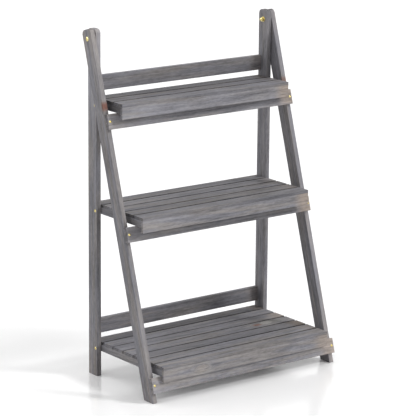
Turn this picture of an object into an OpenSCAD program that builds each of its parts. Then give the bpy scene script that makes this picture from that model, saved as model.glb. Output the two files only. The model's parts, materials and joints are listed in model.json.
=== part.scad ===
// Folding ladder stand for plants: an upright rear frame and a leaning front frame, bolted
// together near the top, and three slatted shelves. Each shelf turns on two screws in the
// rear legs, rests on a rail of the front frame and hooks over it with a hanging front board.
// +X is right, +Y is back and +Z is up. The origin is on the floor, at the middle.

/* [Frame] */
// Width over the outer faces of the front legs
stand_w = 606; // [500:1:800]
// Height of the rounded tops of the legs
stand_h = 930; // [900:1:1000]
// Width of a leg, seen from the side
leg_w = 38; // [34:0.5:50]
// Thickness of a leg
leg_t = 14; // [12:0.5:20]
// Radius of the rounded corners at the top of a leg
leg_corner_r = 12; // [4:0.5:16]
// Gap between a front leg and the rear leg beside it
leg_gap = 0.5; // [0.3:0.1:2]

/* [Shelves] */
// Height of the bottom shelf's upper face
bottom_shelf_z = 93; // [85:0.5:140]
// Height of the middle shelf's upper face
middle_shelf_z = 467.5; // [420:0.5:500]
// Height of the top shelf's upper face
top_shelf_z = 748; // [700:0.5:780]
// Number of slats in the bottom shelf
bottom_slat_count = 7; // [6:1:8]
// Number of slats in the middle shelf
middle_slat_count = 5; // [5:1:6]
// Number of slats in the top shelf
top_slat_count = 3; // [3:1:4]
// Width of a slat
slat_w = 40; // [36:0.5:44]
// Thickness of a slat
slat_t = 8; // [6:0.5:12]
// Gap between two slats
slat_gap = 5.8; // [3:0.1:8]
// Rounding of the long edges of slats, rails and front boards
edge_r = 1; // [0.4:0.1:2]
// Height of a bearer under the slats
bearer_h = 18; // [12:0.5:24]
// Width of a bearer
bearer_w = 20; // [16:0.5:30]
// Height of a hanging front board below the front slat
fascia_h = 32; // [28:0.5:40]
// Thickness of a hanging front board
fascia_t = 8; // [7:0.5:12]
// Gap between the end of a shelf and the rear leg beside it
shelf_side_gap = 1; // [0.5:0.1:3]
// How far a shelf's back edge stays in front of the rear legs' back faces
shelf_back_inset = 1; // [0.5:0.5:5]
// Gap between a resting bearer and the rail under it
rest_gap = 0.3; // [0.2:0.05:0.5]
// Gap between the bottom shelf's hanging board and the rail behind it
hook_gap = 0.8; // [0.5:0.1:3]

/* [Rails] */
// Height of a front rail
front_rail_h = 40; // [38:0.5:50]
// Thickness of a front rail
front_rail_t = 12; // [9:0.5:15]
// How far a front rail's end stays inside the front leg's outer face
front_rail_inset = 0; // [0:0.5:3]
// Height of a back rail
back_rail_h = 40; // [34:0.5:50]
// Thickness of a back rail
back_rail_t = 12; // [10:0.5:14]
// Gap between a shelf's upper face and the back rail above it
back_rail_gap = 16; // [14:0.5:30]

/* [Fasteners] */
// Distance from the top of the legs down to the hinge bolt
bolt_drop = 26.5; // [22:0.5:32]
// Diameter of the hinge bolt
bolt_d = 6; // [5:0.5:8]
// Diameter of the hinge bolt's round head
bolt_head_d = 12; // [10:0.5:16]
// Height of the hinge bolt's round head
bolt_head_h = 2.4; // [1.8:0.1:4]
// Length of thread that stands out of the nut
bolt_tail = 5; // [1:0.5:8]
// Width of the hinge nut over its flats
nut_w = 10; // [10:0.5:13]
// Height of the hinge nut
nut_h = 5; // [3:0.5:8]
// Diameter of the washer under the nut
washer_d = 14; // [14:0.5:18]
// Thickness of the washer under the nut
washer_t = 1.2; // [0.8:0.1:2]
// Distance from a rear leg's front face back to the shelf pivots
pivot_in = 7; // [6:0.5:12]
// Diameter of the shelf pivot screws
pivot_d = 4; // [3:0.5:5]
// Diameter of the pivot screws' flat heads
pivot_head_d = 8; // [7:0.5:10]
// Height of the pivot screws' flat heads
pivot_head_h = 3; // [2:0.5:4]
// Length of a pivot screw inside the bearer
pivot_bite = 16; // [10:0.5:24]
// Diameter of the front rail screws
rail_screw_d = 4; // [3:0.5:5]
// Diameter of the front rail screws' round heads
rail_head_d = 7; // [6:0.5:8]
// Height of the front rail screws' round heads
rail_head_h = 2.2; // [1.5:0.1:3]
// Length of a front rail screw inside the leg
rail_screw_bite = 22; // [14:0.5:30]
// Diameter of the slat screws
slat_screw_d = 3; // [2.5:0.5:4]
// Diameter of the slat screws' flat heads
slat_head_d = 6; // [5:0.5:7]
// Height of the slat screws' flat heads
slat_head_h = 2; // [1:0.5:3]
// Length of a slat screw inside the slat
slat_screw_bite = 5; // [3:0.5:5]
// Diameter of the back rails' dowels
rail_dowel_d = 6; // [4:0.5:8]
// Length of a back rail dowel inside each of the two boards that it joins
rail_dowel_bite = 9; // [6:0.5:10]
// Diameter of the front boards' dowels
fascia_dowel_d = 5; // [4:0.5:6]
// Length of a front board's dowel inside the board
fascia_dowel_bite = 5; // [3:0.5:6]
// Length of a front board's dowel inside the bearer
fascia_dowel_tail = 12; // [8:0.5:16]
// Radial clearance of a bolt or screw that something turns on
turn_clear = 0.1; // [0.05:0.01:0.1]
// Radial clearance of a fixed screw or dowel in its hole
fixed_clear = 0.05; // [0.02:0.01:0.1]
// Gap behind a head that turns against a leg, and past the tip of a screw or dowel
end_clear = 0.3; // [0.2:0.05:0.5]

/* [Hidden] */
$fn = 48;

// Each shelf as [name, height of the upper face, number of slats]
shelves = [
    ["bottom", bottom_shelf_z, bottom_slat_count],
    ["middle", middle_shelf_z, middle_slat_count],
    ["top", top_shelf_z, top_slat_count]
];
sides = [["left", -1], ["right", 1]];
front_rail_shelves = shelves;
back_rail_shelves = [shelves[0], shelves[2]];

function shelf_depth(count) = count * slat_w + (count - 1) * slat_gap;

// The front frame leans back on the hinge bolt, so that the faces of its rails just clear
// the lower edge of the bottom shelf's hanging board.
leg_side = leg_w / 2;
rail_face = leg_side + front_rail_t;
bolt_z = stand_h - bolt_drop;
hook_y = shelf_back_inset + shelf_depth(bottom_slat_count) - fascia_t - hook_gap - leg_side;
hook_z = bolt_z - (bottom_shelf_z - slat_t - fascia_h);
lean = atan2(hook_y, hook_z) - asin(rail_face / norm([hook_y, hook_z]));
front_leg_end = leg_corner_r
    + (bolt_drop - leg_corner_r - (leg_side - leg_corner_r) * sin(lean)) / cos(lean);

// The whole depth runs from the bottom shelf to the front legs' tops, which lean past the
// rear legs' back faces.
top_overhang = leg_corner_r - leg_side
    + (leg_side - leg_corner_r) * cos(lean) + (front_leg_end - leg_corner_r) * sin(lean);
stand_d = shelf_depth(bottom_slat_count) + shelf_back_inset + top_overhang;

// Rear legs and the shelves between them
rear_back_y = stand_d / 2 - top_overhang;
rear_front_y = rear_back_y - leg_w;
front_leg_x = stand_w / 2 - leg_t;
rear_leg_x = front_leg_x - leg_gap - leg_t;
shelf_half = rear_leg_x - shelf_side_gap;
shelf_back_y = rear_back_y - shelf_back_inset;
shelf_thickness = slat_t + bearer_h;
pivot_y = rear_front_y + pivot_in;
bolt_y = rear_back_y - leg_side;

function shelf_front_y(count) = shelf_back_y - shelf_depth(count);
function pivot_z(shelf) = shelf[1] - slat_t - bearer_h / 2;
function slat_y(i) = shelf_back_y - (i - 0.5) * slat_w - (i - 1) * slat_gap;

// Heights along the leaning legs, counted from the bolt
function rail_top(shelf) =
    (shelf[1] - shelf_thickness - rest_gap - bolt_z - rail_face * sin(lean)) / cos(lean);
function floor_at(y) = (y * sin(lean) - bolt_z) / cos(lean);
front_rail_l = stand_w - 2 * front_rail_inset;
rail_screw_x = front_leg_x + leg_t / 2;

// Fixings under the shelves
slat_screw_in = bearer_w * 0.65;
fascia_dowel_in = bearer_w * 0.25;
rail_dowel_spread = back_rail_h / 4;

// ---- Shapes ----

// A board along X with rounded long edges, its corner at the origin of Y and Z
module eased_board(length, depth, height) {
    rotate([90, 0, 90])
        linear_extrude(length, center = true) {
            translate([edge_r, 0])
                square([depth - 2 * edge_r, height]);
            translate([0, edge_r])
                square([depth, height - 2 * edge_r]);
            for (y = [edge_r, depth - edge_r], z = [edge_r, height - edge_r])
                translate([y, z])
                    circle(edge_r);
        }
}

// A board in the YZ plane, as thick as a leg, with two rounded corners at its top end
module leg_board(low_front, low_back, high) {
    rotate([90, 0, 90])
        linear_extrude(leg_t) {
            polygon([
                [-leg_side, low_front],
                [leg_side, low_back],
                [leg_side, high - leg_corner_r],
                [-leg_side, high - leg_corner_r]
            ]);
            translate([leg_corner_r - leg_side, high - 2 * leg_corner_r])
                square([leg_w - 2 * leg_corner_r, 2 * leg_corner_r]);
            for (y = [leg_corner_r - leg_side, leg_side - leg_corner_r])
                translate([y, high - leg_corner_r])
                    circle(leg_corner_r);
        }
}

// A round bar along +X
module bar_x(d, length) {
    rotate([0, 90, 0])
        cylinder(d = d, h = length);
}

// A flat head in the plane X = 0 with its cone pointing along +X
module flat_head_x(d, shank_d, height) {
    rotate([0, 90, 0])
        cylinder(d1 = d, d2 = shank_d, h = height);
}

// A domed head along -X, flat at X = 0
module round_head_x(d, height) {
    dome_r = (d * d / 4 + height * height) / (2 * height);
    intersection() {
        translate([dome_r - height, 0, 0])
            sphere(dome_r);
        translate([-height, 0, 0])
            bar_x(d, height);
    }
}

// Copies its children on the left, mirrored from the right
module both_sides() {
    for (side = sides)
        on_side(side[1])
            children();
}

// Children drawn for the right-hand side, mirrored for the left-hand one
module on_side(side) {
    mirror([side < 0 ? 1 : 0, 0, 0])
        children();
}

// The leaning frame's own axes: origin on the hinge bolt, +Z up along the legs
module leaning() {
    translate([0, bolt_y, bolt_z])
        rotate([-lean, 0, 0])
            children();
}

// ---- Rear frame ----

module back_rail_dowel_places(shelf) {
    for (z = [-rail_dowel_spread, rail_dowel_spread])
        translate([rear_leg_x, rear_back_y - back_rail_t / 2,
                   shelf[1] + back_rail_gap + back_rail_h / 2 + z])
            children();
}

module back_rail_dowel(clear) {
    translate([-rail_dowel_bite - (clear > 0 ? end_clear : 0), 0, 0])
        bar_x(rail_dowel_d + 2 * clear, 2 * (rail_dowel_bite + (clear > 0 ? end_clear : 0)));
}

module rear_leg() {
    difference() {
        translate([rear_leg_x, bolt_y, 0])
            leg_board(0, 0, stand_h);
        translate([rear_leg_x - 1, bolt_y, bolt_z])
            bar_x(bolt_d + 2 * turn_clear, leg_t + 2);
        for (shelf = shelves)
            translate([rear_leg_x + leg_t, pivot_y, pivot_z(shelf)])
                pivot_hole();
        for (shelf = back_rail_shelves)
            back_rail_dowel_places(shelf)
                back_rail_dowel(fixed_clear);
    }
}

// The hole for a pivot screw, from the leg's outer face inwards along -X
module pivot_hole() {
    mirror([1, 0, 0]) {
        translate([-1, 0, 0])
            bar_x(pivot_d + 2 * turn_clear, leg_t + 2);
        flat_head_x(pivot_head_d + 2 * end_clear, pivot_d + 2 * turn_clear,
                    pivot_head_h + end_clear);
    }
}

module back_rail(shelf) {
    color("dimgray")
        difference() {
            translate([0, rear_back_y - back_rail_t, shelf[1] + back_rail_gap])
                eased_board(2 * rear_leg_x, back_rail_t, back_rail_h);
            both_sides()
                back_rail_dowel_places(shelf)
                    back_rail_dowel(fixed_clear);
        }
}

module rear_leg_left() {
    color("gray")
        on_side(-1)
            rear_leg();
}

module rear_leg_right() {
    color("gray")
        rear_leg();
}

module back_rail_bottom() {
    back_rail(shelves[0]);
}

module back_rail_top() {
    back_rail(shelves[2]);
}

module back_rail_dowels() {
    color("burlywood")
        both_sides()
            for (shelf = back_rail_shelves)
                back_rail_dowel_places(shelf)
                    back_rail_dowel(0);
}

// ---- Front frame ----

module front_leg() {
    leaning()
        difference() {
            translate([front_leg_x, 0, 0])
                leg_board(floor_at(-leg_side), floor_at(leg_side), front_leg_end);
            translate([front_leg_x - 1, 0, 0])
                bar_x(bolt_d + 2 * turn_clear, leg_t + 2);
            for (shelf = front_rail_shelves)
                rail_screw_place(shelf)
                    rail_screw_shank(fixed_clear);
        }
}

// A rail screw's seat on the rail's face, with +X pointing into the rail and the leg
module rail_screw_place(shelf) {
    translate([rail_screw_x, -rail_face, rail_top(shelf) - front_rail_h / 2])
        rotate([0, 0, 90])
            children();
}

module rail_screw_shank(clear) {
    bar_x(rail_screw_d + 2 * clear,
          front_rail_t + rail_screw_bite + (clear > 0 ? end_clear : 0));
}

module front_rail(shelf) {
    color("gray")
        leaning()
            difference() {
                translate([0, -rail_face, rail_top(shelf) - front_rail_h])
                    eased_board(front_rail_l, front_rail_t, front_rail_h);
                both_sides()
                    rail_screw_place(shelf)
                        rail_screw_shank(fixed_clear);
            }
}

module front_leg_left() {
    color("darkgray")
        on_side(-1)
            front_leg();
}

module front_leg_right() {
    color("darkgray")
        front_leg();
}

module front_rail_screws() {
    color("gold")
        leaning()
            both_sides()
                for (shelf = front_rail_shelves)
                    rail_screw_place(shelf) {
                        round_head_x(rail_head_d, rail_head_h);
                        rail_screw_shank(0);
                    }
}

// ---- Hinge at the top ----

module hinge_bolts() {
    grip = leg_t + leg_gap + leg_t + end_clear;
    color("gold")
        both_sides()
            translate([stand_w / 2 + end_clear, bolt_y, bolt_z])
                mirror([1, 0, 0]) {
                    round_head_x(bolt_head_d, bolt_head_h);
                    bar_x(bolt_d, grip + washer_t + nut_h + bolt_tail);
                }
}

module hinge_washers() {
    color("goldenrod")
        both_sides()
            translate([rear_leg_x - washer_t, bolt_y, bolt_z])
                difference() {
                    bar_x(washer_d, washer_t);
                    translate([-1, 0, 0])
                        bar_x(bolt_d + 2 * turn_clear, washer_t + 2);
                }
}

module hinge_nuts() {
    color("gold")
        both_sides()
            translate([rear_leg_x - washer_t - nut_h, bolt_y, bolt_z])
                difference() {
                    rotate([0, 90, 0])
                        cylinder(d = nut_w / cos(30), h = nut_h, $fn = 6);
                    translate([-1, 0, 0])
                        bar_x(bolt_d + 2 * fixed_clear, nut_h + 2);
                }
}

// ---- Shelves ----

module slat_screw_places(i, shelf) {
    translate([shelf_half - slat_screw_in, slat_y(i), shelf[1] - shelf_thickness])
        rotate([0, -90, 0])
            children();
}

module slat_screw(clear) {
    flat_head_x(slat_head_d + 2 * clear, slat_screw_d + 2 * clear, slat_head_h);
    bar_x(slat_screw_d + 2 * clear, bearer_h + slat_screw_bite + (clear > 0 ? end_clear : 0));
}

module fascia_dowel_places(shelf) {
    translate([shelf_half - fascia_dowel_in, shelf_front_y(shelf[2]) + fascia_t,
               shelf[1] - slat_t - bearer_h / 2])
        rotate([0, 0, 90])
            children();
}

module fascia_dowel(clear) {
    reach = clear > 0 ? end_clear : 0;
    translate([-fascia_dowel_bite - reach, 0, 0])
        bar_x(fascia_dowel_d + 2 * clear, fascia_dowel_bite + fascia_dowel_tail + 2 * reach);
}

// The threaded part of a pivot screw, from the bearer's end face inwards along -X
module pivot_bite_bar(clear) {
    mirror([1, 0, 0])
        bar_x(pivot_d + 2 * clear, pivot_bite + (clear > 0 ? end_clear : 0));
}

module bearer(shelf, side) {
    length = shelf_depth(shelf[2]) - fascia_t;
    color("dimgray")
        on_side(side)
            difference() {
                translate([shelf_half - bearer_w, shelf_back_y - length, shelf[1] - shelf_thickness])
                    cube([bearer_w, length, bearer_h]);
                translate([shelf_half, pivot_y, pivot_z(shelf)])
                    pivot_bite_bar(fixed_clear);
                for (i = [1:shelf[2]])
                    slat_screw_places(i, shelf)
                        slat_screw(fixed_clear);
                fascia_dowel_places(shelf)
                    fascia_dowel(fixed_clear);
            }
}

module slat(shelf, i) {
    color(i % 2 == 0 ? "gray" : "darkgray")
        difference() {
            translate([0, slat_y(i) - slat_w / 2, shelf[1] - slat_t])
                eased_board(2 * shelf_half, slat_w, slat_t);
            both_sides()
                slat_screw_places(i, shelf)
                    slat_screw(fixed_clear);
        }
}

module fascia(shelf) {
    color("silver")
        difference() {
            translate([0, shelf_front_y(shelf[2]), shelf[1] - slat_t - fascia_h])
                eased_board(2 * shelf_half, fascia_t, fascia_h);
            both_sides()
                fascia_dowel_places(shelf)
                    fascia_dowel(fixed_clear);
        }
}

module slat_screws(shelf) {
    color("goldenrod")
        both_sides()
            for (i = [1:shelf[2]])
                slat_screw_places(i, shelf)
                    slat_screw(0);
}

module fascia_dowels(shelf) {
    color("burlywood")
        both_sides()
            fascia_dowel_places(shelf)
                fascia_dowel(0);
}

module pivot_screws(shelf) {
    reach = leg_t + shelf_side_gap - end_clear;
    color("gold")
        both_sides()
            translate([rear_leg_x + leg_t - end_clear, pivot_y, pivot_z(shelf)])
                mirror([1, 0, 0]) {
                    flat_head_x(pivot_head_d, pivot_d, pivot_head_h);
                    bar_x(pivot_d, reach + pivot_bite);
                }
}

// ---- The pieces ----

rear_leg_left();
rear_leg_right();
back_rail_bottom();
back_rail_top();
back_rail_dowels();
front_leg_left();
front_leg_right();
front_rail_screws();
hinge_bolts();
hinge_washers();
hinge_nuts();
for (shelf = shelves) {
    front_rail(shelf);
    fascia(shelf);
    slat_screws(shelf);
    fascia_dowels(shelf);
    pivot_screws(shelf);
    for (side = sides)
        bearer(shelf, side[1]);
    for (i = [1:shelf[2]])
        slat(shelf, i);
}
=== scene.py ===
"""A folding ladder stand for plants: grey-stained pine boards, brass-plated screws and bolts."""

import json
import math
import random

import bmesh
import bpy
from mathutils import Matrix, Vector


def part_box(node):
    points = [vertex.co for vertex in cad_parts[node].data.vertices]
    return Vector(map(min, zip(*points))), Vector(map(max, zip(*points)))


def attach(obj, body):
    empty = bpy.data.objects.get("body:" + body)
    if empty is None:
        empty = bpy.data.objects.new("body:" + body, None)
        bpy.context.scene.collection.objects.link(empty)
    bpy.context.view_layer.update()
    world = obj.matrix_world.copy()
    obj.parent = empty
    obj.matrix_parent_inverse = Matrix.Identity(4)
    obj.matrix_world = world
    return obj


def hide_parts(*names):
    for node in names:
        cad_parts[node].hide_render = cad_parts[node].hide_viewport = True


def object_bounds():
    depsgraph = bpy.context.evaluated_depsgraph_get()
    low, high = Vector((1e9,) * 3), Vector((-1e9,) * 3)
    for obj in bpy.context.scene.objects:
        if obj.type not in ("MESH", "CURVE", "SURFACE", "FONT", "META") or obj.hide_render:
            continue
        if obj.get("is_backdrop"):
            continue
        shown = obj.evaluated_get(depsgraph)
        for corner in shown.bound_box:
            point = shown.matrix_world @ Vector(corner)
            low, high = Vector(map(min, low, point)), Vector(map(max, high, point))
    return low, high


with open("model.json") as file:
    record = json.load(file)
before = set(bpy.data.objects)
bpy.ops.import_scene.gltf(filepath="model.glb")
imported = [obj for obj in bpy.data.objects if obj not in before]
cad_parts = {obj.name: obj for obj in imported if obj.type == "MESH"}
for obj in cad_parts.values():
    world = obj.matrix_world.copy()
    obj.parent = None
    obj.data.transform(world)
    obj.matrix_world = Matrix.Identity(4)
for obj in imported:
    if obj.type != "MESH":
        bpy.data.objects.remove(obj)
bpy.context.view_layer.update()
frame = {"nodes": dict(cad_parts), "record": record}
nodes = frame["nodes"]
body_of = {
    node: body
    for body, members in frame["record"]["behaviour"]["bodies"].items()
    for node in members
}

MM = 0.001
SIDES = (-1, 1)
SHELVES = ("bottom", "middle", "top")
X = Vector((1, 0, 0))
Y = Vector((0, 1, 0))
Z = Vector((0, 0, 1))

# How the boards are worked
EASED_EDGE = 0.5 * MM
SAWN_EDGE = 0.35 * MM
LEG_CORNER = 12 * MM
LEG_EDGE = 1.2 * MM

# How much lighter than its wide faces a board's narrow long faces are, and its rubbed corners.
# Below zero it
# is painted shade: on the slats' faces in the gaps between them and on the rear legs' narrow
# faces.
PAINTED_SHADE_IN_THE_GAPS = -0.45
REAR_LEG_PAINTED_SHADE = {-1: -0.06, 1: -0.07}
FRONT_LEG_NARROW = {-1: 0.24, 1: 0.40}
REAR_LEG_RUBBED = 0.05
FRONT_LEG_RUBBED = 0.08

# Screws and bolts
RAIL_SCREW = {"head": 7 * MM, "height": 2.2 * MM, "shank": 4 * MM, "length": 34 * MM}
PIVOT_SCREW = {"head": 8 * MM, "height": 3 * MM, "shank": 4 * MM}
PIVOT_SEAT_CLEARANCE = 0.3 * MM
SLAT_SCREW = {"head": 6 * MM, "height": 2 * MM, "shank": 3 * MM, "length": 23 * MM}
TURN_CLEARANCE = 0.1 * MM
FIXED_CLEARANCE = 0.05 * MM
BOLT_RADIUS = 3 * MM
BOLT_HEAD_HEIGHT = 2.4 * MM
THREAD_PITCH = 1.0 * MM
THREAD_DEPTH = 0.5 * MM
THREAD_SHOWS = 1 * MM
BOLT_TIP = 0.5 * MM
WASHER_EDGE = 0.2 * MM

# A nut's corners are cut down to a round face, whose radius is a share of the flats' distance
NUT_CHAMFER_SLOPE = 1.6 * math.tan(math.radians(30))
NUT_FACE = 0.97
NUT_MOUTH = 0.5 * MM

# Steps round a bolt, a washer and a nut
FINE_STEPS = 48

# How far a cutter reaches past what it cuts
OVERRUN = 1 * MM

# An edge stays sharp where its faces turn by more than this
SMOOTHING = math.radians(38)


# ---- Where things are ----


def middle(low, high):
    return (low + high) / 2


def side_name(side):
    return "left" if side < 0 else "right"


leg_low, leg_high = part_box("rear_leg_right")
leg_side = (leg_high.y - leg_low.y) / 2
leg_outer = leg_high.x
leg_thickness = leg_outer - leg_low.x
front_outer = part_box("front_leg_right")[1].x
bolt_low, bolt_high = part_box("hinge_bolts")
bolt = middle(bolt_low, bolt_high)
foot_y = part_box("front_leg_right")[0].y
lean = math.atan2(bolt.y - foot_y, bolt.z) - math.asin(
    leg_side / math.hypot(bolt.y - foot_y, bolt.z)
)
UP_THE_LEG = Vector((0, math.sin(lean), math.cos(lean)))
ACROSS_THE_LEG = Vector((0, math.cos(lean), -math.sin(lean)))


def turn_to(grain, width):
    """The turn from the object's axes to a board's: along its grain, its width, its thickness."""
    return Matrix((grain, width, grain.cross(width)))


def size_in(node, turn):
    """A node's lowest and highest corners in a board's axes."""
    points = [turn @ vertex.co for vertex in nodes[node].data.vertices]
    return Vector(map(min, zip(*points))), Vector(map(max, zip(*points)))


# ---- Shaping ----


def ease(bm, edges, width, segments=3):
    """Rounds off edges, as sandpaper does."""
    bmesh.ops.bevel(
        bm,
        geom=edges,
        offset=width,
        offset_type="OFFSET",
        segments=segments,
        profile=0.5,
        affect="EDGES",
        clamp_overlap=True,
        material=-1,
    )


def sharp_edges(bm, least=math.radians(30)):
    """The edges at which faces turn by more than least."""
    return [edge for edge in bm.edges if edge.calc_face_angle(0) > least]


def square_board(size):
    """A planed board about the origin, its grain along X, with eased edges and sawn ends."""
    bm = bmesh.new()
    bmesh.ops.create_cube(bm, size=1)
    bmesh.ops.scale(bm, vec=size, verts=bm.verts)
    long_edges = [
        edge
        for edge in bm.edges
        if abs((edge.verts[0].co - edge.verts[1].co).normalized().x) > 0.5
    ]
    ease(bm, long_edges, EASED_EDGE)
    ends = [face for face in bm.faces if abs(face.normal.x) > 0.9]
    ease(bm, list({edge for face in ends for edge in face.edges}), SAWN_EDGE, 2)
    return bm


def leg_board(outline, thickness):
    """A leg about the origin from its four corners, foot first, with a rounded top end."""
    bm = bmesh.new()
    corners = [bm.verts.new((*point, -thickness / 2)) for point in outline]
    bm.faces.new(corners)
    bmesh.ops.bevel(
        bm,
        geom=corners[2:],
        offset=LEG_CORNER,
        offset_type="OFFSET",
        segments=10,
        profile=0.5,
        affect="VERTICES",
        material=-1,
    )
    raised = bmesh.ops.extrude_face_region(bm, geom=bm.faces[:])["geom"]
    raised = [part for part in raised if isinstance(part, bmesh.types.BMVert)]
    bmesh.ops.translate(bm, vec=(0, 0, thickness), verts=raised)
    bmesh.ops.recalc_face_normals(bm, faces=bm.faces)
    ease(bm, sharp_edges(bm), LEG_EDGE)
    return bm


def turned(outline, steps=32):
    """A closed solid turned on the X axis from (distance along X, radius) points."""
    bm = bmesh.new()
    line = [bm.verts.new((along, radius, 0)) for along, radius in outline]
    edges = [bm.edges.new(pair) for pair in zip(line, line[1:])]
    bmesh.ops.spin(
        bm,
        geom=line + edges,
        cent=(0, 0, 0),
        axis=X,
        dvec=(0, 0, 0),
        angle=math.tau,
        steps=steps,
        use_merge=True,
    )
    bmesh.ops.remove_doubles(bm, verts=bm.verts, dist=MM / 1000)
    bmesh.ops.recalc_face_normals(bm, faces=bm.faces)
    return bm


def thread(radius, start, length, steps=24):
    """A raised thread that winds along X, closed at both ends, its root just inside the core."""
    turns = length / THREAD_PITCH
    bm = bmesh.new()
    root = radius - THREAD_DEPTH * 1.1
    half = THREAD_PITCH * 0.42
    section = [
        bm.verts.new((start - half, root, 0)),
        bm.verts.new((start, radius, 0)),
        bm.verts.new((start + half, root, 0)),
    ]
    face = bm.faces.new(section)
    bmesh.ops.spin(
        bm,
        geom=[face],
        cent=(0, 0, 0),
        axis=X,
        dvec=X * (THREAD_PITCH / steps),
        angle=math.tau * turns,
        steps=round(steps * turns),
    )
    bmesh.ops.recalc_face_normals(bm, faces=bm.faces)
    return bm


def cross_recess(head, height, width=0.30, reach=0.62, depth=0.6, taper=0.62):
    """The cutter for a cross slot in a screw head whose top is at X = 0.

    width and reach are shares of the head's radius, depth is one of its height, and taper is
    how much narrower the slot is at its bottom.
    """
    bm = bmesh.new()
    bmesh.ops.create_cube(bm, size=head * width)
    arms = [face for face in bm.faces if abs(face.normal.x) < 0.5]
    for face in bmesh.ops.extrude_discrete_faces(bm, faces=arms)["faces"]:
        along = face.normal * (head * reach - head * width / 2)
        bmesh.ops.translate(bm, vec=along, verts=face.verts)
    inner = [vertex for vertex in bm.verts if vertex.co.x > 0]
    outer = [vertex for vertex in bm.verts if vertex.co.x < 0]
    bmesh.ops.scale(bm, vec=(1, taper, taper), verts=inner)
    for vertex in inner:
        vertex.co.x = height * depth
    for vertex in outer:
        vertex.co.x = -height * depth
    return bm


def joined(parts):
    """One bmesh from several (bmesh, place) pairs."""
    whole = bmesh.new()
    for bm, place in parts:
        mesh = bpy.data.meshes.new("part")
        bm.to_mesh(mesh)
        mesh.transform(place)
        if place.is_negative:
            mesh.flip_normals()
        whole.from_mesh(mesh)
        bpy.data.meshes.remove(mesh)
    return whole


def carved(bm, cutter, operation="DIFFERENCE"):
    """A bmesh cut by another."""
    held = []
    for name, part in (("solid", bm), ("cutter", cutter)):
        mesh = bpy.data.meshes.new(name)
        part.to_mesh(mesh)
        part.free()
        held.append(bpy.data.objects.new(name, mesh))
        bpy.context.scene.collection.objects.link(held[-1])
    cut = held[0].modifiers.new("cut", "BOOLEAN")
    cut.operation = operation
    cut.solver = "EXACT"
    cut.object = held[1]
    depsgraph = bpy.context.evaluated_depsgraph_get()
    mesh = bpy.data.meshes.new_from_object(held[0].evaluated_get(depsgraph))
    result = bmesh.new()
    result.from_mesh(mesh)
    bpy.data.meshes.remove(mesh)
    for part in held:
        mesh = part.data
        bpy.data.objects.remove(part)
        bpy.data.meshes.remove(mesh)
    return result


def finished(name, bm, place, material, body, slot, *replaced):
    """Makes a piece from a bmesh, put in its place and onto its body."""
    mesh = bpy.data.meshes.new(name)
    bm.to_mesh(mesh)
    bm.free()
    mesh.transform(place)
    mesh.materials.append(material)
    mesh.shade_smooth()
    mesh.set_sharp_from_angle(angle=SMOOTHING)
    piece = bpy.data.objects.new(name, mesh)
    bpy.context.scene.collection.objects.link(piece)
    shading = piece.modifiers.new("even_shading", "WEIGHTED_NORMAL")
    shading.keep_sharp = True
    shading.weight = 100
    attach(piece, body)
    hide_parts(*replaced)


# ---- Finishes ----


class Bench:
    """Adds nodes to a tree. An input takes a number, a colour or another node's output."""

    def __init__(self, tree):
        self.tree = tree

    def node(self, kind, **settings):
        made = self.tree.nodes.new(kind)
        for key, value in settings.items():
            setattr(made, key, value)
        return made

    def feed(self, socket, value):
        if isinstance(value, bpy.types.NodeSocket):
            self.tree.links.new(value, socket)
        elif isinstance(value, tuple) and len(value) == 3 and socket.type == "RGBA":
            socket.default_value = (*value, 1)
        else:
            socket.default_value = value

    def feed_all(self, node, values):
        """Feeds a node's inputs by their names."""
        for name, value in values.items():
            self.feed(node.inputs[name], value)

    def math(self, operation, *values):
        made = self.node("ShaderNodeMath", operation=operation)
        for socket, value in zip(made.inputs, values):
            self.feed(socket, value)
        return made.outputs[0]

    def vector(self, operation, *values):
        made = self.node("ShaderNodeVectorMath", operation=operation)
        for socket, value in zip(made.inputs, values):
            self.feed(socket, value)
        number = operation in ("DOT_PRODUCT", "LENGTH")
        return made.outputs["Value" if number else "Vector"]

    def scale(self, vector, amount):
        made = self.node("ShaderNodeVectorMath", operation="SCALE")
        self.feed(made.inputs[0], vector)
        self.feed(made.inputs["Scale"], amount)
        return made.outputs["Vector"]

    def split(self, vector):
        made = self.node("ShaderNodeSeparateXYZ")
        self.feed(made.inputs[0], vector)
        return made.outputs

    def join(self, x, y, z):
        made = self.node("ShaderNodeCombineXYZ")
        for socket, value in zip(made.inputs, (x, y, z)):
            self.feed(socket, value)
        return made.outputs[0]

    def noise(self, point, stretch, detail=2.0, roughness=0.5):
        """Noise from 0 to 1, with about stretch features to a metre along each axis."""
        made = self.node("ShaderNodeTexNoise")
        vector = self.vector("MULTIPLY", point, stretch)
        values = {"Vector": vector, "Scale": 1, "Detail": detail, "Roughness": roughness}
        self.feed_all(made, values)
        return made.outputs[0]

    def fade(self, value, start, end, first=0.0, last=1.0):
        """A smooth change from first to last as value goes from start to end."""
        made = self.node("ShaderNodeMapRange", interpolation_type="SMOOTHSTEP")
        for socket, number in zip(made.inputs, (value, start, end, first, last)):
            self.feed(socket, number)
        return made.outputs[0]

    def times(self, value, factor):
        return self.math("MULTIPLY", value, factor)

    def add(self, value, factor, total):
        """total with factor times value added."""
        return self.math("MULTIPLY_ADD", value, factor, total)

    def swing(self, noise, factor, total=0.0):
        """total with a noise about its middle, times factor, added."""
        return self.add(self.math("SUBTRACT", noise, 0.5), factor, total)

    def blend(self, amount, first, second):
        made = self.node("ShaderNodeMix", data_type="RGBA", blend_type="MIX")
        self.feed(made.inputs[0], amount)
        self.feed(made.inputs[6], first)
        self.feed(made.inputs[7], second)
        return made.outputs[2]

    def bump(self, height, strength, distance):
        made = self.node("ShaderNodeBump")
        self.feed_all(made, {"Strength": strength, "Distance": distance, "Height": height})
        return made.outputs[0]


def new_finish(name):
    """A new material, the bench for its nodes, and its shader."""
    material = bpy.data.materials.new(name)
    material.use_nodes = True
    tree = material.node_tree
    return material, Bench(tree), tree.nodes["Principled BSDF"]


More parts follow.
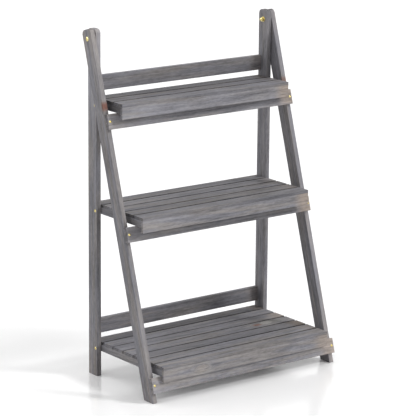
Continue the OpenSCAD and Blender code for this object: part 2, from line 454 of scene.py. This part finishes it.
STAIN = (0.249, 0.241, 0.253)
COOL_STAIN = (0.216, 0.216, 0.244)
WARM_STAIN = (0.284, 0.259, 0.240)
BARE_WOOD = (0.344, 0.290, 0.254)
PALE_WOOD = (0.345, 0.325, 0.292)
PALE_PATCH = (0.520, 0.505, 0.485)
KNOT_RED = (0.215, 0.105, 0.082)
KNOT_DARK = (0.125, 0.110, 0.108)

# Growth rings: how far apart they are, how much they waver, and how the trunk narrows
RING_SPACING = 4.2 * MM
RING_WAVER = 4 * MM
TRUNK_TAPER = 0.012

# How far the grain wanders off line, and how ragged a knot's rim is
GRAIN_WANDER = 4.5 * MM
KNOT_RAGGED = 3.5 * MM
SMALLEST_KNOT = 0.01 * MM

# How near a board's corner the sanding starts to fade and has gone, and how much that wavers
RUBBED_RIM = (0.2 * MM, 1.9 * MM)
RIM_WAVER = 4 * MM


def stained_pine():
    """Grey-stained pine as a solid pattern in a board's own axes, its grain along X, in metres,
    with painted light and shade from its tone, end and narrow-face inputs.
    """
    tree = bpy.data.node_groups.new("grey_stained_pine", "ShaderNodeTree")
    sockets = (
        ("Point", "VECTOR"),
        ("Half size", "VECTOR"),
        ("Facing the end", "FLOAT"),
        ("Facing the edge", "FLOAT"),
        ("Plank", "VECTOR"),
        ("Heart", "VECTOR"),
        ("Tone and painted light", "FLOAT"),
        ("Warmth", "FLOAT"),
        ("Bare ends", "VECTOR"),
        ("Painted light at ends", "VECTOR"),
        ("First knot", "VECTOR"),
        ("Second knot", "VECTOR"),
        ("Knot red", "FLOAT"),
        ("Knot core", "FLOAT"),
        ("Sawn ends and painted shade", "FLOAT"),
        ("Narrow faces and painted shade", "FLOAT"),
        ("Rubbed corners", "FLOAT"),
    )
    for name, kind in sockets:
        tree.interface.new_socket(name, in_out="INPUT", socket_type="NodeSocket" + kind.title())
    for name, kind in (("Colour", "Color"), ("Roughness", "Float"), ("Height", "Float")):
        tree.interface.new_socket(name, in_out="OUTPUT", socket_type="NodeSocket" + kind)
    at = Bench(tree)
    given = at.node("NodeGroupInput").outputs
    point = given["Point"]
    plank = at.vector("ADD", point, given["Plank"])
    here = at.split(point)

    # Knots: the grain swells round them
    swell = 0.0
    cores = []
    halos = []
    for name in ("First knot", "Second knot"):
        knot = at.split(given[name])
        along = at.times(at.math("SUBTRACT", here[0], knot[0]), 0.55)
        across = at.math("SUBTRACT", here[1], knot[1])
        away = at.vector("LENGTH", at.join(along, across, 0.0))
        ragged = at.swing(at.noise(plank, (160, 160, 160)), KNOT_RAGGED, away)
        ratio = at.math("DIVIDE", ragged, at.math("MAXIMUM", knot[2], SMALLEST_KNOT))
        cores.append(at.fade(ratio, 0.65, 1.05, 1.0, 0.0))
        halos.append(at.fade(ratio, 0.9, 4.2, 1.0, 0.0))
        pull = at.times(halos[-1], at.times(knot[2], 0.9))
        swell = at.add(at.math("SIGN", across), pull, swell)
    halo = at.math("MAXIMUM", *halos)

    # The grain wanders a little, and follows the swelling
    wander = at.swing(at.noise(plank, (2.4, 15, 15)), GRAIN_WANDER)
    shift = at.math("SUBTRACT", wander, swell)
    grain = at.vector("ADD", plank, at.join(0.0, shift, shift))

    # Growth rings round the heart of the tree
    from_heart = at.split(at.vector("SUBTRACT", point, given["Heart"]))
    ring_y = at.math("ADD", from_heart[1], shift)
    ring_z = at.math("ADD", from_heart[2], shift)
    heart = at.vector("LENGTH", at.join(0.0, ring_y, ring_z))
    heart = at.add(here[0], TRUNK_TAPER, heart)
    heart = at.add(at.noise(grain, (5, 50, 50)), RING_WAVER, heart)
    turn = at.math("FRACT", at.math("DIVIDE", heart, RING_SPACING))
    late = at.times(at.fade(turn, 0.35, 0.88), at.fade(turn, 0.9, 1.0, 1.0, 0.0))

    # Streaks and fibres
    broad = at.noise(grain, (7, 85, 85), 3.0, 0.55)
    streak = at.noise(grain, (17, 180, 180), 4.0, 0.65)
    line = at.noise(grain, (2.4, 300, 300))
    fibre = at.noise(grain, (40, 1500, 1500), 3.0, 0.65)
    fleck = at.noise(grain, (75, 330, 330), 2.0, 0.6)
    patch = at.noise(plank, (9, 34, 34))
    hue = at.noise(at.vector("ADD", grain, (3.1, 1.7, 0.9)), (6, 75, 75))

    cool = at.fade(hue, 0.36, 0.60, 1.0, 0.0)
    warm = at.fade(at.math("ADD", hue, at.times(given["Warmth"], 0.2)), 0.50, 0.72)
    colour = at.blend(at.times(cool, 0.65), STAIN, COOL_STAIN)
    colour = at.blend(at.times(warm, 0.45), colour, WARM_STAIN)

    # Less stain has gone into the ends of a board
    ends = at.split(given["Bare ends"])
    pale = at.split(given["Painted light at ends"])
    half = at.split(given["Half size"])
    reach = at.math("DIVIDE", here[0], half[0])
    right = at.times(at.fade(reach, 0.80, 0.94), ends[0])
    left = at.times(at.fade(reach, -0.76, -0.95), ends[1])
    blotch = at.noise(at.vector("ADD", grain, (0.7, 2.9, 4.1)), (9, 110, 110), 2.0, 0.55)
    bare = at.times(at.math("MAXIMUM", right, left), at.fade(blotch, 0.05, 0.50))
    colour = at.blend(bare, colour, BARE_WOOD)

    # Knots and the paler wood round them. The second knot's middle is a pale patch.
    swirl = at.times(halo, at.fade(streak, 0.32, 0.56))
    colour = at.blend(at.times(swirl, 0.55), colour, PALE_WOOD)
    colour = at.blend(at.times(cores[1], 0.75), colour, PALE_PATCH)
    red = at.times(at.math("POWER", halos[0], 5.0), given["Knot red"])
    colour = at.blend(at.times(red, 0.75), colour, KNOT_RED)
    heartwood = at.blend(given["Knot red"], KNOT_DARK, KNOT_RED)
    centre = at.times(cores[0], given["Knot core"])
    colour = at.blend(centre, colour, heartwood)

    # Light and dark along the grain
    light = 1.0
    strengths = (0.70, 0.95, 0.55, 0.70, 0.55, 0.35)
    for pattern, strength in zip((broad, streak, line, fleck, patch, fibre), strengths):
        light = at.swing(pattern, strength, light)
    light = at.add(late, -0.13, light)
    # Painted light: lighter towards the ends, most of all towards the left
    light = at.add(at.fade(reach, 0.3, 0.9), pale[0], light)
    light = at.add(at.fade(reach, -0.2, -0.85), pale[1], light)
    # The board's own tone, with painted light on the fronts and painted shade on some boards
    light = at.times(light, given["Tone and painted light"])

    # End grain drinks more stain; on some boards it is darkened further as painted shade
    saw = at.noise(point, (900, 160, 900))
    end = at.fade(given["Facing the end"], 0.6, 0.95)
    light = at.add(end, at.add(saw, 0.16, given["Sawn ends and painted shade"]), light)

    # Sanded corners hold less of it. Narrow faces are made lighter or darker; where darker, on
    # slats in the gaps and on the rear legs, it is painted shade.
    gap = at.split(at.vector("SUBTRACT", given["Half size"], at.vector("ABSOLUTE", point)))
    rims = [at.math("MAXIMUM", gap[one], gap[two]) for one, two in ((1, 2), (0, 1), (0, 2))]
    corner = at.math("MINIMUM", rims[0], at.math("MINIMUM", rims[1], rims[2]))
    corner = at.swing(broad, RIM_WAVER, corner)
    rubbed = at.fade(corner, *RUBBED_RIM, 1.0, 0.0)
    light = at.add(rubbed, given["Rubbed corners"], light)
    edge = at.fade(given["Facing the edge"], 0.5, 0.95)
    light = at.add(edge, given["Narrow faces and painted shade"], light)
    colour = at.scale(colour, light)

    rough = at.add(streak, 0.20, 0.50)
    rough = at.add(late, -0.06, rough)
    rough = at.add(end, 0.15, rough)
    height = at.add(fibre, 0.45, at.times(streak, 0.5))
    height = at.add(late, 0.35, height)
    height = at.add(centre, -0.4, height)
    out = at.node("NodeGroupOutput")
    for socket, value in zip(out.inputs, (colour, rough, height)):
        at.feed(socket, value)
    return tree


pine = stained_pine()
draw = random.Random(12)

# How light each board is drawn: partly its own tone and partly painted light and shade. The
# fascias and front rails are lighter as painted light on their fronts, the top bearers and the
# right front leg are darker as painted shade, and the back slats are darker too. In this table and
# in those of ends, the first key that a node's name holds counts, and slats are numbered from the
# back.
TONES_AND_PAINTED_LIGHT = {
    "bottom_slat": (0.68, 1.06, 0.98, 0.94, 0.78, 0.93, 0.97),
    "middle_slat": (0.75, 0.92, 0.90, 0.72, 0.86),
    "top_slat": (0.60, 0.78, 0.93),
    "bottom_fascia": 1.22,
    "middle_fascia": 1.23,
    "top_fascia": 1.25,
    "front_rail_bottom": 1.39,
    "front_rail": 1.20,
    "back_rail_bottom": 0.91,
    "back_rail_top": 1.06,
    "front_leg_left": 1.02,
    "rear_leg_left": 1.09,
    "front_leg_right": 0.90,
    "rear_leg_right": 1.18,
    "bottom_bearer": 1.08,
    "middle_bearer": 0.97,
    "top_bearer": 0.54,
}

# Painted light: how much lighter a board is drawn towards its ends, right or top, then left or
# bottom, for light that falls there
PAINTED_LIGHT_ENDS = {
    "front_leg_left": (0.18, 0.10),
    "front_leg_right": (0.02, 0.10),
    "rear_leg_left": (0.65, 0),
    "rear_leg_right": (0, 0),
    "bearer": (0, 0),
}
COMMON_PAINTED_LIGHT_ENDS = (0.04, 0.20)

# How much darker the end grain is. The front rails' and the top shelf's ends are darker still, as
# painted shade.
SAWN_ENDS_AND_PAINTED_SHADE = {"front_rail": -0.72, "top_slat": -0.55, "top_fascia": -0.55}
COMMON_SAWN_ENDS = -0.40

# What single boards show: (distance along from the middle, distance across, size) of up to two
# knots, how red and how dark the first is, how far stain is missing at the right or top and at
# the left or bottom end, and how warm the board is
MARKS = {
    "bottom_fascia": {"first": (-0.150, 0.001, 0.006), "bare": (0.75, 0.1), "warmth": 0.8},
    "bottom_slat_1": {"bare": (0.6, 0)},
    "bottom_slat_3": {"bare": (0.7, 0)},
    "bottom_slat_4": {
        "first": (0.157, 0.0, 0.0044),
        "second": (0.192, 0.005, 0.0125),
        "red": 1.0,
        "core": 1.0,
    },
    "bottom_slat_5": {"bare": (1.0, 0), "warmth": -0.8},
    "bottom_slat_7": {"warmth": 0.8},
    "middle_slat_4": {"warmth": 0.7},
    "middle_fascia": {"bare": (0.95, 0)},
    "top_fascia": {"bare": (0.9, 0)},
    "front_leg_left": {
        "first": (0.284, -0.019, 0.0038),
        "red": 1.0,
        "core": 0.8,
        "bare": (0.1, 0.15),
    },
    "front_leg_right": {
        "first": (0.290, -0.019, 0.003),
        "red": 0.7,
        "core": 0.3,
        "bare": (0.2, 0.15),
    },
    "rear_leg_left": {"bare": (0.1, 0.2)},
    "rear_leg_right": {"bare": (0.1, 0.1)},
    "front_rail_bottom": {"bare": (0.75, 0.1)},
    "front_rail_middle": {"first": (-0.138, 0.004, 0.0025), "bare": (0.95, 0.1)},
    "front_rail_top": {"bare": (0.9, 0.15)},
}


# A knot far off the board stands for none
NO_KNOT = (9.0, 9.0, 0.0)
COMMON_KNOT_RED = 0.15

# The stain's faint gloss, and how deep the grain feels
WOOD_SHEEN = 0.14
WOOD_RELIEF = 0.5 * MM


def look_up(table, node, common):
    """The value of the first key that a node's name holds."""
    for part, value in table.items():
        if part in node:
            return value
    return common


def tone_and_painted_light(node):
    """How light a board is drawn next to the others: its own tone with painted light and shade."""
    found = look_up(TONES_AND_PAINTED_LIGHT, node, 1.0)
    return found[int(node[-1]) - 1] if isinstance(found, tuple) else found


def pine_board(node, place, size, turn, narrow, rubbed):
    """The finish of one board, cut from its own part of the tree."""
    marks = MARKS.get(node, {})
    material, at, shader = new_finish("pine_" + node)
    around = at.node("ShaderNodeTexCoord").outputs
    mapping = at.node("ShaderNodeMapping", vector_type="POINT")
    at.feed(mapping.inputs["Rotation"], turn.to_euler())
    at.feed(mapping.inputs["Location"], -(turn @ place))
    at.feed(mapping.inputs["Vector"], around["Object"])
    wood = at.node("ShaderNodeGroup", node_tree=pine)
    for facing, row in (("Facing the end", 0), ("Facing the edge", 1)):
        dot = at.vector("DOT_PRODUCT", around["Normal"], tuple(turn[row]))
        at.feed(wood.inputs[facing], at.math("ABSOLUTE", dot))
    plank = [draw.uniform(-3, 3) for axis in range(3)]
    heart = Vector((0, draw.uniform(-0.02, 0.02), draw.uniform(0.035, 0.07)))
    heart.z *= draw.choice(SIDES)
    light = tone_and_painted_light(node) * draw.uniform(0.97, 1.03)
    warmth = marks.get("warmth", draw.uniform(-0.3, 0.5))
    bare = marks.get("bare", (draw.uniform(0, 0.5), 0))
    settings = {
        "Point": mapping.outputs[0],
        "Half size": size / 2,
        "Plank": plank,
        "Heart": heart,
        "Tone and painted light": light,
        "Warmth": warmth,
        "Bare ends": (*bare, 0),
        "Painted light at ends": (*look_up(PAINTED_LIGHT_ENDS, node, COMMON_PAINTED_LIGHT_ENDS), 0),
        "Sawn ends and painted shade": look_up(SAWN_ENDS_AND_PAINTED_SHADE, node, COMMON_SAWN_ENDS),
        "First knot": marks.get("first", NO_KNOT),
        "Second knot": marks.get("second", NO_KNOT),
        "Knot red": marks.get("red", COMMON_KNOT_RED),
        "Knot core": marks.get("core", 0.0),
        "Narrow faces and painted shade": narrow,
        "Rubbed corners": rubbed,
    }
    at.feed_all(wood, settings)
    look = {
        "Base Color": wood.outputs["Colour"],
        "Roughness": wood.outputs["Roughness"],
        "Normal": at.bump(wood.outputs["Height"], 0.35, WOOD_RELIEF),
        "Specular IOR Level": WOOD_SHEEN,
    }
    at.feed_all(shader, look)
    return material


DULL_BRASS = (0.80, 0.66, 0.24)
BRIGHT_BRASS = (0.88, 0.78, 0.40)
PALE_BEECH = (0.66, 0.52, 0.35)
DARK_BEECH = (0.56, 0.42, 0.27)
BEECH_FLECK = (0.40, 0.27, 0.16)


def brass_plate():
    """Bright yellow plating with a faint cloud and fine turning marks."""
    material, at, shader = new_finish("brass_plate")
    point = at.node("ShaderNodeTexCoord").outputs["Object"]
    cloud = at.noise(point, (260, 260, 260), 3.0)
    marks = at.noise(point, (2600, 1500, 1500))
    look = {
        "Base Color": at.blend(at.fade(cloud, 0.35, 0.65), DULL_BRASS, BRIGHT_BRASS),
        "Roughness": at.add(marks, 0.08, at.add(cloud, 0.14, 0.13)),
        "Normal": at.bump(marks, 0.15, 0.1 * MM),
        "Metallic": 1,
    }
    at.feed_all(shader, look)
    return material


def bare_beech():
    """Dowel wood: pale, with short flecks along X."""
    material, at, shader = new_finish("bare_beech")
    point = at.node("ShaderNodeTexCoord").outputs["Object"]
    fibre = at.noise(point, (90, 900, 900), 3.0, 0.6)
    fleck = at.fade(at.noise(point, (320, 1700, 1700), 1.0), 0.62, 0.70)
    colour = at.blend(fibre, PALE_BEECH, DARK_BEECH)
    look = {
        "Base Color": at.blend(at.times(fleck, 0.5), colour, BEECH_FLECK),
        "Roughness": at.add(fibre, 0.2, 0.5),
        "Normal": at.bump(fibre, 0.3, 0.2 * MM),
    }
    at.feed_all(shader, look)
    return material


brass = brass_plate()
beech = bare_beech()


# ---- Boards ----


def board(node, grain, width, shape=None, narrow=0.0, rubbed=0.0):
    """Makes a board where a node is. shape turns the board's size and middle into a bmesh.

    narrow is how much lighter its narrow long faces are, and rubbed its corners.
    """
    turn = turn_to(grain, width)
    low, high = size_in(node, turn)
    size = high - low
    centre = turn.transposed() @ middle(low, high)
    bm = shape(size, centre) if shape else square_board(size)
    place = Matrix.Translation(centre) @ turn.transposed().to_4x4()
    material = pine_board(node, centre, size, turn, narrow, rubbed)
    finished(node + "_board", bm, place, material, body_of[node], "grey_wood", node)


def hole(radius, length, seat=None):
    """The cutter for a round hole along +X from X = 0, with the seat of a flat head if given."""
    if not seat:
        return turned([(-OVERRUN, 0), (-OVERRUN, radius), (length, radius), (length, 0)])
    mouth, depth = seat
    outline = [(-OVERRUN, 0), (-OVERRUN, mouth), (0, mouth), (depth, radius)]
    return turned(outline + [(length, radius), (length, 0)])


def drilled(bm, turn, centre, holes):
    """A board about the origin, cut by (cutter, place) pairs whose places are in the stand."""
    to_board = turn.to_4x4() @ Matrix.Translation(-centre)
    return carved(bm, joined([(cutter, to_board @ place) for cutter, place in holes]))


def from_side(side, x, spot):
    """The place of what goes inwards from one side, starting x from the stand's middle."""
    inwards = Matrix.Rotation(math.pi if side > 0 else 0, 4, "Z")
    return Matrix.Translation((side * x, spot.y, spot.z)) @ inwards


def bolt_hole():
    """The cutter for the hinge bolt's hole through a leg."""
    return hole(BOLT_RADIUS + TURN_CLEARANCE, leg_thickness + OVERRUN)


def rear_leg(side):
    """Makes a rear leg, with seats for the shelves' pivot screws and the hinge bolt's hole."""

    def shape(size, centre):
        half = size / 2
        outline = [(-half.x, -half.y), (-half.x, half.y), (half.x, half.y), (half.x, -half.y)]
        seat = (
            PIVOT_SCREW["head"] / 2 + PIVOT_SEAT_CLEARANCE,
            PIVOT_SCREW["height"] + PIVOT_SEAT_CLEARANCE,
        )
        pivot = PIVOT_SCREW["shank"] / 2 + TURN_CLEARANCE
        holes = []
        for shelf in SHELVES:
            spot = middle(*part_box(shelf + "_pivot_screws"))
            cutter = hole(pivot, leg_thickness + OVERRUN, seat)
            holes.append((cutter, from_side(side, leg_outer, spot)))
        holes.append((bolt_hole(), from_side(side, leg_outer, bolt)))
        return drilled(leg_board(outline, size.z), turn_to(Z, Y), centre, holes)

    board("rear_leg_" + side_name(side), Z, Y, shape, REAR_LEG_PAINTED_SHADE[side], REAR_LEG_RUBBED)


def front_leg(side):
    """Makes a front leg, its foot cut level, with the hinge bolt's hole."""

    def shape(size, centre):
        half = size / 2

        def floor_at(across):
            return (across * math.sin(lean) - centre.z) / math.cos(lean)

        outline = [
            (floor_at(-half.y), -half.y),
            (floor_at(half.y), half.y),
            (half.x, half.y),
            (half.x, -half.y),
        ]
        turn = turn_to(UP_THE_LEG, ACROSS_THE_LEG)
        holes = [(bolt_hole(), from_side(side, front_outer, bolt))]
        return drilled(leg_board(outline, size.z), turn, centre, holes)

    node = "front_leg_" + side_name(side)
    narrow = FRONT_LEG_NARROW[side]
    board(node, UP_THE_LEG, ACROSS_THE_LEG, shape, narrow, FRONT_LEG_RUBBED)


for side in SIDES:
    rear_leg(side)
    front_leg(side)
for shelf in ("bottom", "top"):
    board("back_rail_" + shelf, X, Z)
for shelf in SHELVES:
    board("front_rail_" + shelf, X, UP_THE_LEG)
    board(shelf + "_fascia", X, Z)

slat_count = {
    shelf: sum(node.startswith(shelf + "_slat_") and node[-1].isdigit() for node in nodes)
    for shelf in SHELVES
}
UPWARDS = Matrix.Rotation(-math.pi / 2, 4, "Y")


def slat_screw_places(shelf, side):
    """Where the slat screws start on a bearer's underside, pointing up, one for each slat."""
    low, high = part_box(shelf + "_slat_screws")
    x = side * (high.x - SLAT_SCREW["head"] / 2)
    for number in range(1, slat_count[shelf] + 1):
        slat = middle(*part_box(f"{shelf}_slat_{number}"))
        yield Matrix.Translation((x, slat.y, low.z)) @ UPWARDS


def bearer(shelf, side):
    """Makes a bearer, bored from below for the slat screws."""

    def shape(size, centre):
        radius = SLAT_SCREW["shank"] / 2 + FIXED_CLEARANCE
        seat = (SLAT_SCREW["head"] / 2 + FIXED_CLEARANCE, SLAT_SCREW["height"])
        holes = [
            (hole(radius, size.y + OVERRUN, seat), place)
            for place in slat_screw_places(shelf, side)
        ]
        return drilled(square_board(size), turn_to(Y, Z), centre, holes)

    board(f"{shelf}_bearer_{side_name(side)}", Y, Z, shape)


for shelf in SHELVES:
    for number in range(1, slat_count[shelf] + 1):
        front = number == slat_count[shelf]
        # Slats behind the front one get painted shade on their narrow faces, in the gaps
        board(f"{shelf}_slat_{number}", X, Y, narrow=0.0 if front else PAINTED_SHADE_IN_THE_GAPS)
    for side in SIDES:
        bearer(shelf, side)


# ---- Screws, bolts, washers and nuts ----


# A flat head's rounded rim: millimetres below its top, and millimetres in from its radius
HEAD_RIM = ((0, 0.1), (0.1, 0), (0.25, 0.05))


def flat_screw(screw, length):
    """A countersunk screw along +X, its head's top at X = 0, with a cross recess."""
    head = screw["head"] / 2
    shank = screw["shank"] / 2
    outline = [(0, 0), *((along * MM, head - inset * MM) for along, inset in HEAD_RIM)]
    outline += [(screw["height"], shank), (length - 2 * shank, shank), (length, 0)]
    return carved(turned(outline), cross_recess(head, screw["height"]))


def domed_outline(radius, height, steps=7):
    """The outline of a domed head that stands on X = 0 and rises towards -X."""
    ball = (radius * radius + height * height) / (2 * height)
    sweep = math.asin(min(1.0, radius / ball))
    points = []
    for step in range(steps + 1):
        angle = sweep * step / steps
        points.append((ball - height - ball * math.cos(angle), ball * math.sin(angle)))
    return points


def domed_screw(screw):
    """A round-headed screw along +X, its head's underside at X = 0, with a cross recess."""
    head = screw["head"] / 2
    shank = screw["shank"] / 2
    length = screw["length"]
    outline = domed_outline(head, screw["height"])
    outline += [(0, shank), (length - 2 * shank, shank), (length, 0)]
    recess = cross_recess(head, screw["height"], depth=0.62)
    bmesh.ops.translate(recess, vec=(-screw["height"], 0, 0), verts=recess.verts)
    return carved(turned(outline), recess)


def hardware(node, name, bm, places):
    """Makes a node's fasteners, which are all alike, as one piece of brass."""
    whole = joined([(bm, place) for place in places])
    bm.free()
    finished(name, whole, Matrix.Identity(4), brass, body_of[node], "brass", node)


def inner_x(node):
    """How near the middle of the stand the fasteners of a node come."""
    return min(abs(vertex.co.x) for vertex in nodes[node].data.vertices)


# Rail screws, through the rails' faces into the front legs
rail_turn = turn_to(X, UP_THE_LEG)
leg_centre_x = front_outer - leg_thickness / 2
into_the_leg = turn_to(ACROSS_THE_LEG, UP_THE_LEG).transposed().to_4x4()
rail_places = []
for shelf in SHELVES:
    low, high = size_in("front_rail_" + shelf, rail_turn)
    for side in SIDES:
        spot = rail_turn.transposed() @ Vector((side * leg_centre_x, middle(low, high).y, high.z))
        rail_places.append(Matrix.Translation(spot) @ into_the_leg)
hardware("front_rail_screws", "rail_screws", domed_screw(RAIL_SCREW), rail_places)

# Pivot screws, through the rear legs into the bearers
for shelf in SHELVES:
    low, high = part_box(shelf + "_pivot_screws")
    places = [from_side(side, high.x, middle(low, high)) for side in SIDES]
    screw = flat_screw(PIVOT_SCREW, high.x - inner_x(shelf + "_pivot_screws"))
    hardware(shelf + "_pivot_screws", shelf + "_pivots", screw, places)

# Slat screws, up through the bearers
for shelf in SHELVES:
    places = [place for side in SIDES for place in slat_screw_places(shelf, side)]
    screw = flat_screw(SLAT_SCREW, SLAT_SCREW["length"])
    hardware(shelf + "_slat_screws", shelf + "_underside_screws", screw, places)

# The hinge: a domed bolt, a washer and a nut on each side
washer_low, washer_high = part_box("hinge_washers")
nut_low, nut_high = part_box("hinge_nuts")
bolt_seat = bolt_high.x - BOLT_HEAD_HEIGHT


def domed_bolt(head, length, threaded):
    """A bolt along +X, its head's underside at X = 0, its thread from X = threaded onwards."""
    core = BOLT_RADIUS - THREAD_DEPTH
    outline = domed_outline(head, BOLT_HEAD_HEIGHT, 10)
    outline += [(0, BOLT_RADIUS), (threaded - THREAD_PITCH, BOLT_RADIUS), (threaded, core)]
    outline += [(length - BOLT_TIP, core), (length, core - BOLT_TIP), (length, 0)]
    recess = cross_recess(head, BOLT_HEAD_HEIGHT, 0.24, 0.5)
    bmesh.ops.translate(recess, vec=(-BOLT_HEAD_HEIGHT, 0, 0), verts=recess.verts)
    shaft = carved(turned(outline, FINE_STEPS), recess)
    start = threaded + THREAD_PITCH / 2
    winding = thread(BOLT_RADIUS, start, length - start - THREAD_PITCH)
    return joined([(shaft, Matrix.Identity(4)), (winding, Matrix.Identity(4))])


def flat_washer(radius, depth):
    """A washer along +X from X = 0, its rim eased on both sides."""
    bore = BOLT_RADIUS + TURN_CLEARANCE
    section = [
        (0, bore),
        (0, radius - WASHER_EDGE),
        (WASHER_EDGE, radius),
        (depth - WASHER_EDGE, radius),
        (depth, radius - WASHER_EDGE),
        (depth, bore),
        (0, bore),
    ]
    return turned(section, FINE_STEPS)


def hex_nut(corner, depth):
    """A nut along +X from X = 0: a hexagon turned down at both ends, then bored."""
    bar = bmesh.new()
    bmesh.ops.create_cone(
        bar,
        cap_ends=True,
        segments=6,
        radius1=corner,
        radius2=corner,
        depth=depth + 2 * OVERRUN,
    )
    bmesh.ops.rotate(bar, matrix=Matrix.Rotation(math.pi / 2, 3, "Y"), verts=bar.verts)
    bmesh.ops.translate(bar, vec=(depth / 2, 0, 0), verts=bar.verts)

    flat = corner * math.cos(math.pi / 6)
    fall = (corner - flat) * NUT_CHAMFER_SLOPE
    widest = corner + 0.1 * MM
    outline = [
        (0, 0),
        (0, flat * NUT_FACE),
        (fall, widest),
        (depth - fall, widest),
        (depth, flat * NUT_FACE),
        (depth, 0),
    ]
    envelope = turned(outline, FINE_STEPS)
    # The small turn keeps its vertices off the hexagon's corners, where a cut isn't repeatable
    turn = Matrix.Rotation(math.radians(2), 3, "X")
    bmesh.ops.rotate(envelope, matrix=turn, verts=envelope.verts)
    blank = carved(bar, envelope, "INTERSECT")

    bore = BOLT_RADIUS + FIXED_CLEARANCE
    mouth = bore + NUT_MOUTH + OVERRUN
    outline = [(-OVERRUN, 0), (-OVERRUN, mouth), (NUT_MOUTH, bore)]
    outline += [(depth - NUT_MOUTH, bore), (depth + OVERRUN, mouth), (depth + OVERRUN, 0)]
    return carved(blank, turned(outline))


bolt_length = bolt_seat - inner_x("hinge_bolts")
bolt_piece = domed_bolt(
    (bolt_high.z - bolt_low.z) / 2,
    bolt_length,
    bolt_seat - nut_high.x - THREAD_SHOWS,
)
washer = flat_washer(
    (washer_high.z - washer_low.z) / 2,
    washer_high.x - inner_x("hinge_washers"),
)
nut = hex_nut((nut_high.z - nut_low.z) / 2, nut_high.x - inner_x("hinge_nuts"))
for node, name, piece, x in (
    ("hinge_bolts", "domed_bolts", bolt_piece, bolt_seat),
    ("hinge_washers", "flat_washers", washer, washer_high.x),
    ("hinge_nuts", "bolt_nuts", nut, nut_high.x),
):
    hardware(node, name, piece, [from_side(side, x, bolt) for side in SIDES])

# Dowels keep their own shape
for node in nodes:
    if node.endswith("_dowels"):
        for slot in nodes[node].material_slots:
            slot.material = beech


# ---- Room, light and camera ----

FLOOR_SIZE = 60
FLOOR = (0.80, 0.80, 0.80)
FLOOR_SEEN = (1.335, 1.335, 1.335)
DAYLIGHT = 0.295

# The camera: its turn and tilt in degrees, its place, and its lens in pixels of the photo
AZIMUTH = 37.5053
ELEVATION = 13.8661
ROLL = 0.5472
CAMERA_PLACE = (-3.52380, -4.57397, 1.86789)
LENS_IN_PIXELS = 2251.15
PHOTO_WIDTH = 416
SENSOR_WIDTH = 36


def floor_finish():
    """A pale floor with a faint gloss. The camera sees it as white where nothing shades it."""
    material, at, shader = new_finish("pale_floor")
    seen = at.node("ShaderNodeLightPath").outputs["Is Camera Ray"]
    look = {
        "Base Color": at.blend(seen, FLOOR, FLOOR_SEEN),
        "Roughness": 0.18,
        "IOR": 1.6,
        "Specular IOR Level": 1.0,
    }
    at.feed_all(shader, look)
    return material


def lay_floor():
    """Lays the floor at the height of the feet, out to beyond what a camera sees."""
    bm = bmesh.new()
    bmesh.ops.create_grid(bm, x_segments=1, y_segments=1, size=FLOOR_SIZE / 2)
    mesh = bpy.data.meshes.new("floor")
    bm.to_mesh(mesh)
    bm.free()
    mesh.materials.append(floor_finish())
    floor = bpy.data.objects.new("floor", mesh)
    bpy.context.scene.collection.objects.link(floor)
    floor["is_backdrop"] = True


def light_the_room():
    """Even daylight. What the camera, a gloss or a glass sees of it is white."""
    world = bpy.data.worlds.new("studio")
    bpy.context.scene.world = world
    world.use_nodes = True
    tree = world.node_tree
    tree.nodes.clear()
    at = Bench(tree)
    path = at.node("ShaderNodeLightPath").outputs
    seen = at.math("MAXIMUM", path["Is Camera Ray"], path["Is Glossy Ray"])
    seen = at.math("MAXIMUM", seen, path["Is Transmission Ray"])
    white = at.node("ShaderNodeBackground")
    at.feed(white.inputs["Color"], (1, 1, 1))
    at.feed(white.inputs["Strength"], at.add(seen, 1 - DAYLIGHT, DAYLIGHT))
    out = at.node("ShaderNodeOutputWorld")
    at.feed(out.inputs["Surface"], white.outputs[0])


def direction(azimuth, elevation):
    """A unit vector: azimuth goes round from the front (0) to the right (90 degrees)."""
    azimuth = math.radians(azimuth)
    elevation = math.radians(elevation)
    return Vector(
        (
            math.sin(azimuth) * math.cos(elevation),
            -math.cos(azimuth) * math.cos(elevation),
            math.sin(elevation),
        )
    )


def lamp(name, azimuth, elevation, strength, spread):
    """A large soft lamp far away. spread is how wide it looks, in degrees."""
    data = bpy.data.lights.new(name, "SUN")
    data.energy = strength * math.pi
    data.angle = math.radians(spread)
    made = bpy.data.objects.new(name, data)
    bpy.context.scene.collection.objects.link(made)
    towards = direction(azimuth, elevation)
    made.rotation_euler = towards.to_track_quat("Z", "Y").to_euler()


def place_camera():
    """Puts the camera where the photo was taken, turned by its small roll."""
    ahead = -direction(-AZIMUTH, ELEVATION)
    right = ahead.cross(Z).normalized()
    up = right.cross(ahead)
    roll = math.radians(ROLL)
    turned_right = right * math.cos(roll) + up * math.sin(roll)
    turned_up = up * math.cos(roll) - right * math.sin(roll)
    data = bpy.data.cameras.new("camera")
    data.sensor_width = SENSOR_WIDTH
    data.lens = LENS_IN_PIXELS / PHOTO_WIDTH * SENSOR_WIDTH
    data.clip_end = 200
    camera = bpy.data.objects.new("camera", data)
    bpy.context.scene.collection.objects.link(camera)
    facing = Matrix((turned_right, turned_up, -ahead)).transposed().to_4x4()
    camera.matrix_world = Matrix.Translation(CAMERA_PLACE) @ facing
    bpy.context.scene.camera = camera


lay_floor()
light_the_room()
lamp("key", 45, 24, 0.14, 26)
lamp("high", 45, 38, 0.36, 13)
lamp("behind", -145, 35, 0.20, 40)
lamp("left", -92, 35, 0.12, 30)
lamp("overhead", 0, 90, 0.15, 30)
place_camera()
bpy.context.scene.view_settings.view_transform = "Standard"

low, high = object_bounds()
